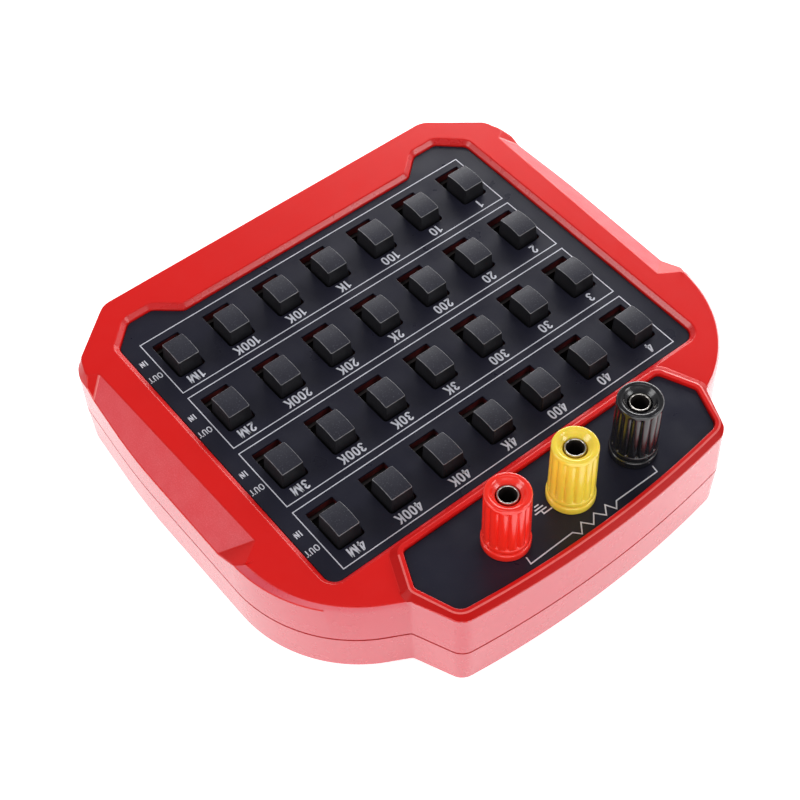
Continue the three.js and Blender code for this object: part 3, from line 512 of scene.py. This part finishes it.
def top_edge(edge):
    a, b = edge.verts[0].co, edge.verts[1].co
    low = min(a.z, b.z)
    if low < RAIL + 0.01:
        outer = all(face.normal.z < -0.5 or abs(face.normal.z) < 0.2 for face in edge.link_faces)
        wide = max(abs(a.x), abs(a.y)) > 30 and any(abs(f.normal.z) < 0.2 and f.calc_area() > 0.5
                                                    for f in edge.link_faces)
        at_rim = min(face.calc_center_median().z for face in edge.link_faces) < RAIL + 0.1
        return 0.35 if outer and wide and at_rim and is_outer(a) and is_outer(b) else 0
    if low < PANEL_SEAT + 0.3:
        return 1 if is_outside(a) and is_outside(b) else 0
    inside_hole = any((a.x - x) ** 2 + (a.y - POST_Y) ** 2 < 30 for x in POSTS.values())
    low_down = max(a.z, b.z) < RIM + 0.9
    by_slope = any(is_slope(face.calc_center_median(), face.normal) for face in edge.link_faces)
    at_foot = low_down and min(a.y, b.y) > 41 and by_slope
    at_foot = at_foot or (low_down and min(a.y, b.y) > TAB_ROOT - 1.5 and reach(a) < 2.9 and reach(b) < 2.9)
    return 0 if inside_hole or at_foot else 0.8


def is_slope(middle, normal):
    """Whether a face lies on the slope round the raised platform."""
    return 0.3 < normal.z < 0.95 and RIM + 0.05 < middle.z < LIP and middle.y > 34


def reach(point, outline=CASE):
    """How far from an outline a point lies."""
    flat = Vector((point.x, point.y))
    best = 1e9
    for i, corner in enumerate(outline):
        along = outline[(i + 1) % len(outline)] - corner
        share = min(1, max(0, (flat - corner).dot(along) / along.length_squared))
        best = min(best, (flat - corner - along * share).length)
    return best


def is_outer(point):
    """On the outer outline of the case."""
    return reach(point) < 0.05


def is_outside(point):
    """On the outside of the case, grips included, rather than in its cavity."""
    return reach(point) < 2.3 or (abs(point.x) > 55.5 and point.z > 15)


for face in top.data.polygons:
    middle = face.center
    if face.material_index == TOP and reach(middle) < 1.3 and middle.z < RIM + 0.2:
        if abs(face.normal.z) < 0.5 or (middle.y > 15 and abs(face.normal.z) < 0.93):
            # Steep faces near the outline get case_wall, painted paler pink as a reflection of the floor.
            face.material_index = WALL
        elif abs(face.normal.z) < 0.93 and middle.y < TAB_ROOT:
            # The tilted band along the front and sides gets case_bevel, painted pinker as a sheen.
            face.material_index = BEVEL
    if face.material_index == TOP and is_slope(middle, face.normal):
        # The slope round the platform gets case_slope, painted darker as shade.
        face.material_index = SLOPE
# Rounded edges first get case_edge; the loop below keeps it only on the lip and the grip's front crease as a painted
# highlight, and turns the rest back to case_top, or to case_seam at the parting line.
soften(top, 0.3, top_edge, 3, EDGE)
for face in top.data.polygons:
    middle = face.center
    if face.material_index == EDGE:
        on_lip = middle.z > RIM + 0.7 and reach(middle, TERMINAL) > 0.75 and middle.y > 42
        on_crease = abs(middle.x) > 63.2 and -46 < middle.y < -40 and middle.z > RAIL + 1
        face.material_index = SEAM if middle.z < RAIL + 1 else EDGE if on_lip or on_crease else TOP
smooth(top)
place(top, "case", "case", "housing_top")

# ---------------------------------------------------------------- lower shell
low = loft("case_bottom", [(0, inset(CASE, 0.8)), (0.5, inset(CASE, 0.3)), (12.2, CASE)],
           ("case_top", "case_wall", "case_inside_painted_shade", "case_seam"))
combine(low, [plate("tongue", inset(CASE, 1.4), 6.1, 13.4, ("case_inside_painted_shade",))], "UNION")
combine(low, [loft("cavity", [(2.2, inset(CASE, 2.7)), (RAIL, inset(CASE, 2.4)), (RAIL + 2, inset(CASE, 2.4))],
                   ("case_inside_painted_shade",))])
combine(low, [plate("boss", circle(7, x, y), 1.1, 11.9, ("case_inside_painted_shade",)) for x, y in BOSSES], "UNION")
combine(low, [plate("shaft", circle(3.6, x, y, 24), -2, 14, ("case_inside_painted_shade",)) for x, y in BOSSES])
combine(low, [plate("head", circle(6.6, x, y), -2, 2.9, ("case_inside_painted_shade",)) for x, y in BOSSES])


def low_edge(edge):
    a, b = edge.verts[0].co, edge.verts[1].co
    if max(a.z, b.z) < 0.51:
        return 0.6
    return 0.35 if abs(a.z - 12.2) < 0.01 and abs(b.z - 12.2) < 0.01 and is_outer(a) and is_outer(b) else 0


for face in low.data.polygons:
    # Side faces of the lower shell get case_wall, painted paler pink as a reflection of the floor.
    if face.material_index == 0 and abs(face.normal.z) < 0.9:
        face.material_index = 1
soften(low, 0.4, low_edge, 3)
for face in low.data.polygons:
    if 12.0 < face.center.z < 12.25 and face.material_index == 1 and abs(face.normal.z) > 0.15:
        face.material_index = 3
smooth(low)
place(low, "case", "case", "housing_bottom")

# ---------------------------------------------------------------- panels and their print
sheet = plate("switch_sheet", inset(PANEL, 0.1), 23.5, PANEL_FACE, ("panel",))
combine(sheet, slot_cutters(PANEL_SEAT - 2, PANEL_FACE + 2, 0, "panel"))
soften(sheet, 0.09, lambda e: 1 if min(v.co.z for v in e.verts) > PANEL_FACE - 0.01 else 0, 2)
smooth(sheet)
place(sheet, "case", "panel", "switch_panel")
sheet = plate("terminal_sheet", inset(TERMINAL, 0.1), 25.5, TERMINAL_FACE, ("panel",))
combine(sheet, [plate("hole", circle(POST_HOLE, x, POST_Y), 24, 28, ("panel",)) for x in POSTS.values()])
soften(sheet, 0.09, lambda e: 1 if min(v.co.z for v in e.verts) > TERMINAL_FACE - 0.01 else 0, 2)
smooth(sheet)
place(sheet, "case", "panel", "terminal_panel")


def stroke(points, width, low, high, closed=False):
    """A printed line with mitred corners, as a closed prism."""
    points = [Vector(p) for p in points]
    count = len(points)
    left, right = [], []
    for i, point in enumerate(points):
        before = (point - points[i - 1]).normalized() if closed or i else None
        after = (points[(i + 1) % count] - point).normalized() if closed or i + 1 < count else None
        before, after = before or after, after or before
        first, second = Vector((-before.y, before.x)), Vector((-after.y, after.x))
        move = (first + second) * (width / 2) / (1 + first.dot(second))
        left.append(point + move)
        right.append(point - move)
    verts = [(p.x, p.y, z) for side, z in ((left, low), (right, low), (left, high), (right, high)) for p in side]
    faces = []
    for i in range(count if closed else count - 1):
        j = (i + 1) % count
        faces += [(i, j, count + j, count + i), (3 * count + i, 3 * count + j, 2 * count + j, 2 * count + i),
                  (i, 2 * count + i, 2 * count + j, j), (count + i, count + j, 3 * count + j, 3 * count + i)]
    if not closed:
        last = count - 1
        faces += [(0, count, 3 * count, 2 * count), (last, 2 * count + last, 3 * count + last, count + last)]
    return verts, faces


def arc(x, y, wide, high, first, last, power=2.0, steps=14):
    """Points on a (super)ellipse from one angle to another, in degrees."""
    points = []
    for step in range(steps + 1):
        angle = math.radians(first + (last - first) * step / steps)
        cos, sin = math.cos(angle), math.sin(angle)
        points.append((x + wide * math.copysign(abs(cos) ** (2 / power), cos),
                       y + high * math.copysign(abs(sin) ** (2 / power), sin)))
    return points


def glyph_shapes(mark, bar):
    """Width, strokes and filled outlines of a plain condensed character one unit high; bar is its line width."""
    mid, edge = bar / 2, 0.04
    if mark in "0O":
        wide = 0.54 if mark == "0" else 0.66
        return wide, [(arc(wide / 2, 0.5, wide / 2 - mid, 0.5 - mid, 0, 360, 2.7, 28)[:-1], True)], []
    if mark == "1":
        flag = [(0.24, 0.0), (0.24 + bar, 0.0), (0.24 + bar, 1.0), (0.30, 1.0), (0.22, 0.88), (0.05, 0.84),
                (0.05, 0.72), (0.24, 0.72)]
        return 0.46, [], [flag]
    if mark == "2":
        bend = [(mid + 0.01, 0.66), *arc(0.27, 0.73, 0.26 - mid, 0.27 - mid, 175, -25), (0.31, 0.42), (0.14, 0.22),
                (mid + 0.02, 0.04)]
        return 0.54, [(bend, False)], [[(0.01, 0), (0.52, 0), (0.52, bar), (0.01, bar)]]
    if mark == "3":
        high = [*arc(0.26, 0.745, 0.245 - mid, 0.255 - mid, 175, -60), (0.24, 0.54)]
        deep = [(0.24, 0.54), *arc(0.26, 0.275, 0.265 - mid, 0.275 - mid, 62, -175)]
        return 0.54, [(high, False), (deep, False)], []
    if mark == "4":
        stem, reach_over = 0.32, 0.56
        return 0.57, [], [[(stem, 0), (stem + bar, 0), (stem + bar, 1), (stem, 1)],
                          [(0.0, 0.21), (reach_over, 0.21), (reach_over, 0.21 + 0.85 * bar),
                           (0.0, 0.21 + 0.85 * bar)],
                          [(0.0, 0.34), (bar, 0.34), (stem + 0.06, 0.84), (stem + 0.03, 1.0), (stem - 0.02, 1.0)]]
    if mark == "K":
        return 0.68, [], [[(edge, 0), (edge + bar, 0), (edge + bar, 1), (edge, 1)],
                          [(edge + bar - 0.01, 0.32), (edge + bar - 0.01, 0.58), (0.45, 1), (0.65, 1)],
                          [(0.30, 0.47), (0.40, 0.66), (0.69, 0), (0.49, 0)]]
    if mark == "M":
        wide = 0.94
        half = [[(edge, 0), (edge + bar, 0), (edge + bar, 1), (edge, 1)],
                [(edge, 1), (edge + 1.35 * bar, 1), (wide / 2 + 0.08, 0), (wide / 2 - 0.08, 0)]]
        return wide, [], half + [[(wide - x, y) for x, y in reversed(shape)] for shape in half]
    if mark == "N":
        return 0.66, [], [[(edge, 0), (edge + bar, 0), (edge + bar, 1), (edge, 1)],
                          [(0.62 - bar, 0), (0.62, 0), (0.62, 1), (0.62 - bar, 1)],
                          [(edge, 1), (edge + 1.2 * bar, 1), (0.62, 0), (0.62 - 1.2 * bar, 0)]]
    if mark == "I":
        return bar + 2 * edge, [], [[(edge, 0), (edge + bar, 0), (edge + bar, 1), (edge, 1)]]
    if mark == "U":
        bend = [(edge + mid, 1), *arc(0.32, 0.30, 0.28 - mid, 0.30 - mid, 180, 360), (0.60 - mid, 1)]
        return 0.64, [(bend, False)], []
    wide = 0.60
    return wide, [], [[(0, 1 - bar), (wide, 1 - bar), (wide, 1), (0, 1)],
                      [(wide / 2 - mid, 0), (wide / 2 + mid, 0), (wide / 2 + mid, 1), (wide / 2 - mid, 1)]]


def printed(words, x, y, height, width, bar, face):
    """A label centred on (x, y), as thin solids drawn on a face; its total width is given."""
    made, reach_x = [], 0.0
    for mark in words:
        wide, strokes, shapes = glyph_shapes(mark, bar)
        made.append((reach_x, strokes, shapes))
        reach_x += wide + GLYPH_GAP
    total = reach_x - GLYPH_GAP
    across = width / total
    verts, faces = [], []

    def spot(point, start):
        return (x + (start + point[0] - total / 2) * across, y + (point[1] - 0.5) * height)

    def add(solid):
        start = len(verts)
        verts.extend(solid[0])
        faces.extend(tuple(start + i for i in face_row) for face_row in solid[1])

    for start, strokes, shapes in made:
        for points, closed in strokes:
            add(stroke([spot(p, start) for p in points], bar * height, face - INK_DEPTH, face + INK_DEPTH, closed))
        for shape in shapes:
            count = len(shape)
            flat_shape = [spot(p, start) for p in shape]
            add(([(*p, z) for z in (face - INK_DEPTH, face + INK_DEPTH) for p in flat_shape],
                 [tuple(range(count)), tuple(range(2 * count - 1, count - 1, -1)),
                  *[(i, i + count, (i + 1) % count + count, (i + 1) % count) for i in range(count)]]))
    return verts, faces


def joined(name, parts, material):
    verts, faces = [], []
    for some_verts, some_faces in parts:
        start = len(verts)
        verts += some_verts
        faces += [tuple(start + i for i in face) for face in some_faces]
    piece = new_piece(name, verts, faces, (material,))
    bm = bmesh.new()
    bm.from_mesh(piece.data)
    bmesh.ops.remove_doubles(bm, verts=bm.verts, dist=0.0005)
    bmesh.ops.recalc_face_normals(bm, faces=bm.faces)
    bm.to_mesh(piece.data)
    bm.free()
    return piece


INK_DEPTH = 0.02
LINE = 0.26
GLYPH_GAP = 0.10
LABELS = ["1", "10", "100", "1K", "10K", "100K", "1M"]
LABEL_WIDTHS = [1.55, 3.4, 5.05, 3.6, 5.4, 7.1, 4.5]
FRAME_FIRST, FRAME_PITCH, FRAME_HEIGHT, FRAME_HALF, FRAME_SHIFT = -48.2, 21.006, 18.91, 50.0, 0.24
parts = []
for row in range(4):
    base = FRAME_FIRST + row * FRAME_PITCH
    left, right = FRAME_SHIFT - FRAME_HALF, FRAME_SHIFT + FRAME_HALF
    corners = [(left, base), (right, base), (right, base + FRAME_HEIGHT), (left, base + FRAME_HEIGHT)]
    parts.append(stroke(corners, LINE, PANEL_FACE - INK_DEPTH, PANEL_FACE + INK_DEPTH, True))
    for column, label in enumerate(LABELS):
        words = str(row + 1) + label[1:]
        width = LABEL_WIDTHS[column] * (0.86 if words == "1" else 1)
        parts.append(printed(words, COLUMNS[column] + 0.35, ROWS[row] + 8.3, 2.72, width, 0.165, PANEL_FACE))
    parts.append(printed("IN", 52.75, ROWS[row] - 2.9, 1.75, 1.85, 0.15, PANEL_FACE))
    parts.append(printed("OUT", 52.75, ROWS[row] + 2.45, 1.75, 3.65, 0.15, PANEL_FACE))
place(joined("switch_print", parts, "ink"), "case", "panel")

ZIGZAG = [(-19.3, 57.7), (-19.0, 59.5), (-6.6, 59.4), (-5.2, 61.0), (-3.9, 58.6), (-2.3, 60.8), (-0.5, 58.6),
          (1.5, 60.8), (3.3, 58.6), (5.1, 61.0), (6.5, 59.4), (18.8, 59.6), (18.5, 57.7)]
flat = (TERMINAL_FACE - INK_DEPTH, TERMINAL_FACE + INK_DEPTH)
parts = [stroke(ZIGZAG, 0.3, *flat)]
for points in (((8.6, 49.14), (7.35, 49.14)), ((9.2, 49.93), (6.75, 49.93)), ((9.8, 50.74), (6.4, 50.74)),
               ((8.0, 50.74), (8.0, 51.7), (5.6, 51.7))):
    parts.append(stroke(points, 0.32, *flat))
place(joined("terminal_print", parts, "ink"), "case", "panel")

# ---------------------------------------------------------------- slide switch levers
CAP_HALF, CAP_SIDE, CAP_RISE, CAP_ARCH = 3.9, 3.2, 4.1, 0.45
TOP_HALF = CAP_HALF * 0.95


def lever():
    arch = []
    for step in range(17):
        share = 1 - step / 8
        arch.append((TOP_HALF * share, CAP_RISE + CAP_ARCH * (1 - share * share)))
    section = [(-CAP_HALF, -1.9), (CAP_HALF, -1.9), (CAP_HALF, 0.0), *arch, (-CAP_HALF, 0.0)]
    count = len(section)
    verts = []
    for side in (1, -1):
        for y, z in section:
            verts.append((side * CAP_SIDE * (1 - 0.09 * min(1, max(0, z) / CAP_RISE)), y, PANEL_FACE + z))
    faces = [(0, 1, 2, count - 1), tuple(range(2, count)), (2 * count - 1, count + 2, count + 1, count),
             tuple(range(2 * count - 1, count + 1, -1))]
    for i in range(count):
        j = (i + 1) % count
        faces.append((j, i, count + i, count + j))
    piece = new_piece("lever", verts, faces, ("slider", "slider_edge_wear_and_highlight", "slider_top"))
    bm = bmesh.new()
    bm.from_mesh(piece.data)
    bmesh.ops.recalc_face_normals(bm, faces=bm.faces)
    for face in bm.faces:
        # Upward faces get slider_top; the sides get slider, painted darker as shade.
        face.material_index = 2 if face.normal.z > 0.5 else 0
    bm.to_mesh(piece.data)
    bm.free()
    soften(piece, 0.3, lambda e: 1 if abs(e.verts[0].co.z - e.verts[1].co.z) > 1.5 else 0, 3)
    # The top edges of the lever get the pale edge material: wear and a painted highlight.
    soften(piece, 0.13, lambda e: 1 if min(v.co.z for v in e.verts) > PANEL_FACE + 3.5 else 0, 2, 1)
    stem = plate("stem", rectangle(5.2, 7, 0, 0, 0.4), 17.15, PANEL_FACE - 1, ("slider",))
    carriage = plate("carriage", rectangle(7.8, 9.2, 0, 0, 0.4), 15.0, 19.3, ("slider",))
    combine(piece, [stem], "UNION")
    combine(piece, [carriage], "UNION")
    smooth(piece, 40)
    return piece


pattern = lever()
REST = 1.8
for row, column in SWITCHES:
    name = f"{row + 1}{ENDINGS[column]}"
    one = bpy.data.objects.new("lever_" + name, pattern.data.copy())
    scene.collection.objects.link(one)
    step = one.modifiers.new("normals", "WEIGHTED_NORMAL")
    step.keep_sharp = True
    one.data.transform(Matrix.Translation((COLUMNS[column], ROWS[row] + REST, 0)))
    place(one, "switch_" + name, "slider", "slider_" + name)
bpy.data.objects.remove(pattern)

# ---------------------------------------------------------------- binding posts
COLLAR_TOP, CAP_FOOT, CAP_TOP = 28.3, 28.6, 44.9
LOBES = 14


def taper(z):
    return 5.4 - 0.15 * (z - CAP_FOOT) / (CAP_TOP - CAP_FOOT)


def flute_depth(z):
    """Depth of the grooves between the lobes: none in the foot band and at the rim."""
    low = min(1, max(0, (z - 30.0) / 0.3))
    high = min(1, max(0, (43.95 - z) / 1.1))
    return 0.48 * math.sqrt(low * (2 - low)) * math.sqrt(high * (2 - high))


def lobed(r, z, angle):
    if r < 4.92 or not 30.0 < z < 44.0:
        return r
    across = 2 * ((angle * LOBES / (2 * math.pi)) % 1) - 1
    return r - flute_depth(z) * abs(across) ** 2.6


def cap_section():
    outer = [(4.1, 28.6), (5.15, 28.6), (5.32, 28.66), (5.4, 28.8)]
    outer += [(taper(29.3), 29.3), (taper(29.8), 29.8), (taper(29.9) - 0.09, 29.9), (taper(30.0) - 0.09, 30.0)]
    heights = [30.1, 30.25, 30.4, 30.6, 30.8, 31.5, 33.5, 36, 38.5, 41, 42.6, 42.95, 43.2, 43.4, 43.6, 43.75, 43.86,
               43.94]
    outer += [(taper(z), z) for z in heights]
    outer += [(5.24, 44.1), (5.23, 44.35), (5.16, 44.6), (5.05, 44.78), (4.90, 44.87), (4.72, 44.9)]
    return outer + [(4.32, 44.9), (4.14, 44.86), (3.97, 44.75), (3.80, 44.57), (3.62, 44.35), (3.42, 44.12),
                    (3.20, 43.92), (2.98, 43.77), (2.80, 43.64), (2.71, 43.46), (2.68, 43.2), (2.68, 39.2),
                    (3.25, 38.7), (3.25, 36.4), (4.1, 36.4)]


def thread(r, z, angle):
    """The stud's thread, right-handed, 0.75 mm a turn."""
    if r < 2.95 or not 28.9 < z < 37.8:
        return r
    phase = (z / 0.75 - angle / (2 * math.pi)) % 1
    return r - 0.26 * abs(2 * phase - 1)


THREAD_STEP = 0.125
for colour, x in POSTS.items():
    cap = lathe("cap_" + colour, cap_section(), x, POST_Y, LOBES * 14, "post_" + colour, lobed)
    smooth(cap, 50, False)
    place(cap, "cap_" + colour, "post_" + colour, "post_cap_" + colour)
    collar = lathe("collar_" + colour, [
        (2.3, 21.7), (3.7, 21.7), (3.8, 21.8), (3.8, 26.1), (5.45, 26.1), (5.59, 26.16), (5.65, 26.3), (5.65, 27.8),
        (5.59, 28.05), (5.45, 28.2), (5.2, COLLAR_TOP), (2.3, COLLAR_TOP),
    ], x, POST_Y, 96, "post_" + colour)
    smooth(collar, 50, False)
    place(collar, "case", "post_" + colour, "post_base_" + colour)
    rises = int((37.9 - 28.8) / THREAD_STEP)
    stud = lathe("stud_" + colour, [
        (0, 14.9), (1.75, 14.9), (1.92, 14.98), (2.0, 15.15), (2.0, 28.4), (2.75, 28.4), (3.0, 28.65),
        *[(3.0, 28.8 + THREAD_STEP * i) for i in range(rises + 1)],
        (3.0, 37.95), (2.85, 38.1), (2.45, 38.1), (2.45, 43.72), (2.42, 43.84), (2.35, 43.9), (2.16, 43.9),
        (2.09, 43.86), (2.05, 43.76), (2.05, 29.6), (1.9, 29.4), (0, 29.4),
    ], x, POST_Y, 64, "nickel", thread)
    bit = plate("bit", circle(2, 0, 0, 32), -5, 5, ("nickel",))
    bit.data.transform(Matrix.Translation((x, POST_Y, 30.2)) @ Matrix.Rotation(math.pi / 2, 4, "Y"))
    combine(stud, [bit])
    # The inside of the bore gets a dark material: painted shade.
    stud.data.materials.append(mats["bore"])
    for face in stud.data.polygons:
        far = math.hypot(face.center.x - x, face.center.y - POST_Y)
        face.material_index = 1 if far < 2.07 and 29.3 < face.center.z < 43.8 else 0
    smooth(stud, 40, False)
    place(stud, "case", "nickel", "post_stud_" + colour)

# ---------------------------------------------------------------- housing screws
for index, (x, y) in enumerate(BOSSES):
    screw = lathe(f"screw_{index + 1}", [
        (0, 0.8), (2.1, 0.8), (2.55, 0.9), (2.85, 1.15), (3.0, 1.55), (3.0, 2.8), (1.5, 2.8), (1.5, 18.6),
        (1.1, 19.3), (0, 19.3),
    ], x, y, 40, "steel")
    for turned in (0, 1):
        arms = [(0.4, (3.4, 0.95)), (2.3, (1.2, 0.5))]
        rings = [(z, rectangle(*(size[::-1] if turned else size), x, y)) for z, size in arms]
        combine(screw, [loft("recess", rings, ("steel",))])
    smooth(screw, 40, False)
    place(screw, "case", "steel", f"housing_screw_{index + 1}")

# ---------------------------------------------------------------- floor, world and lamps
floor_mat = bpy.data.materials.new("floor")
floor_mat.use_nodes = True
tree = floor_mat.node_tree
shader = tree.nodes["Principled BSDF"]
shader.inputs["Base Color"].default_value = (0.88, 0.88, 0.88, 1)
shader.inputs["Roughness"].default_value = 0.9
shader.inputs["Specular IOR Level"].default_value = 0.1
glow = linked(tree, "ShaderNodeEmission")
glow.inputs["Color"].default_value = (1, 1, 1, 1)
path = linked(tree, "ShaderNodeLightPath")
seen = path.outputs["Is Camera Ray"]
for name in ("Is Glossy Ray", "Is Transmission Ray"):
    either = linked(tree, "ShaderNodeMath", operation="MAXIMUM")
    put(tree, seen, either.inputs[0])
    put(tree, path.outputs[name], either.inputs[1])
    seen = either.outputs[0]
share = linked(tree, "ShaderNodeMath", operation="MULTIPLY")
share.inputs[1].default_value = 0.72
put(tree, seen, share.inputs[0])
put(tree, share.outputs[0], glow.inputs["Strength"])
both = linked(tree, "ShaderNodeAddShader")
put(tree, shader.outputs[0], both.inputs[0])
put(tree, glow.outputs[0], both.inputs[1])
put(tree, both.outputs[0], tree.nodes["Material Output"].inputs["Surface"])
half = 40
floor_z = -0.05 * MM  # just under the box, so that the two faces don't lie in one plane
mesh = bpy.data.meshes.new("floor")
mesh.from_pydata([(-half, -half, floor_z), (half, -half, floor_z), (half, half, floor_z), (-half, half, floor_z)], [],
                 [(0, 1, 2, 3)])
mesh.materials.append(floor_mat)
floor = bpy.data.objects.new("floor", mesh)
scene.collection.objects.link(floor)

# Even sky, paler towards the horizon
world = bpy.data.worlds.new("studio")
world.use_nodes = True
tree = world.node_tree
sky = tree.nodes["Background"]
sky.inputs["Color"].default_value = (1, 1, 1, 1)
split = linked(tree, "ShaderNodeSeparateXYZ")
put(tree, linked(tree, "ShaderNodeTexCoord").outputs["Generated"], split.inputs[0])
put(tree, ramp(tree, split.outputs["Z"], 0.45, 0.95, 0.38, 0.14), sky.inputs["Strength"])
scene.world = world

AIM = Vector((0, 0, 0.02))
for name, direction, distance, width, height, power in (
    ("left", (0.74, -0.34, 0.50), 1.1, 0.5, 0.6, 3.6),
    ("right", (-0.49, 0.70, 0.52), 1.1, 0.4, 0.5, 2.8),
    ("front", (0.55, 0.78, 0.22), 1.3, 1.2, 0.5, 6.2),
    ("above", (0.05, 0.05, 1.0), 1.2, 0.6, 0.6, 1.7),
    ("far", (-0.75, -0.55, 0.33), 0.5, 0.5, 0.2, 2.6),
):
    lamp = bpy.data.lights.new(name, "AREA")
    lamp.shape = "RECTANGLE"
    lamp.size = width
    lamp.size_y = height
    lamp.energy = power
    lit = bpy.data.objects.new(name, lamp)
    lit.location = AIM + Vector(direction).normalized() * distance
    lit.rotation_euler = (AIM - lit.location).to_track_quat("-Z", "Y").to_euler()
    scene.collection.objects.link(lit)
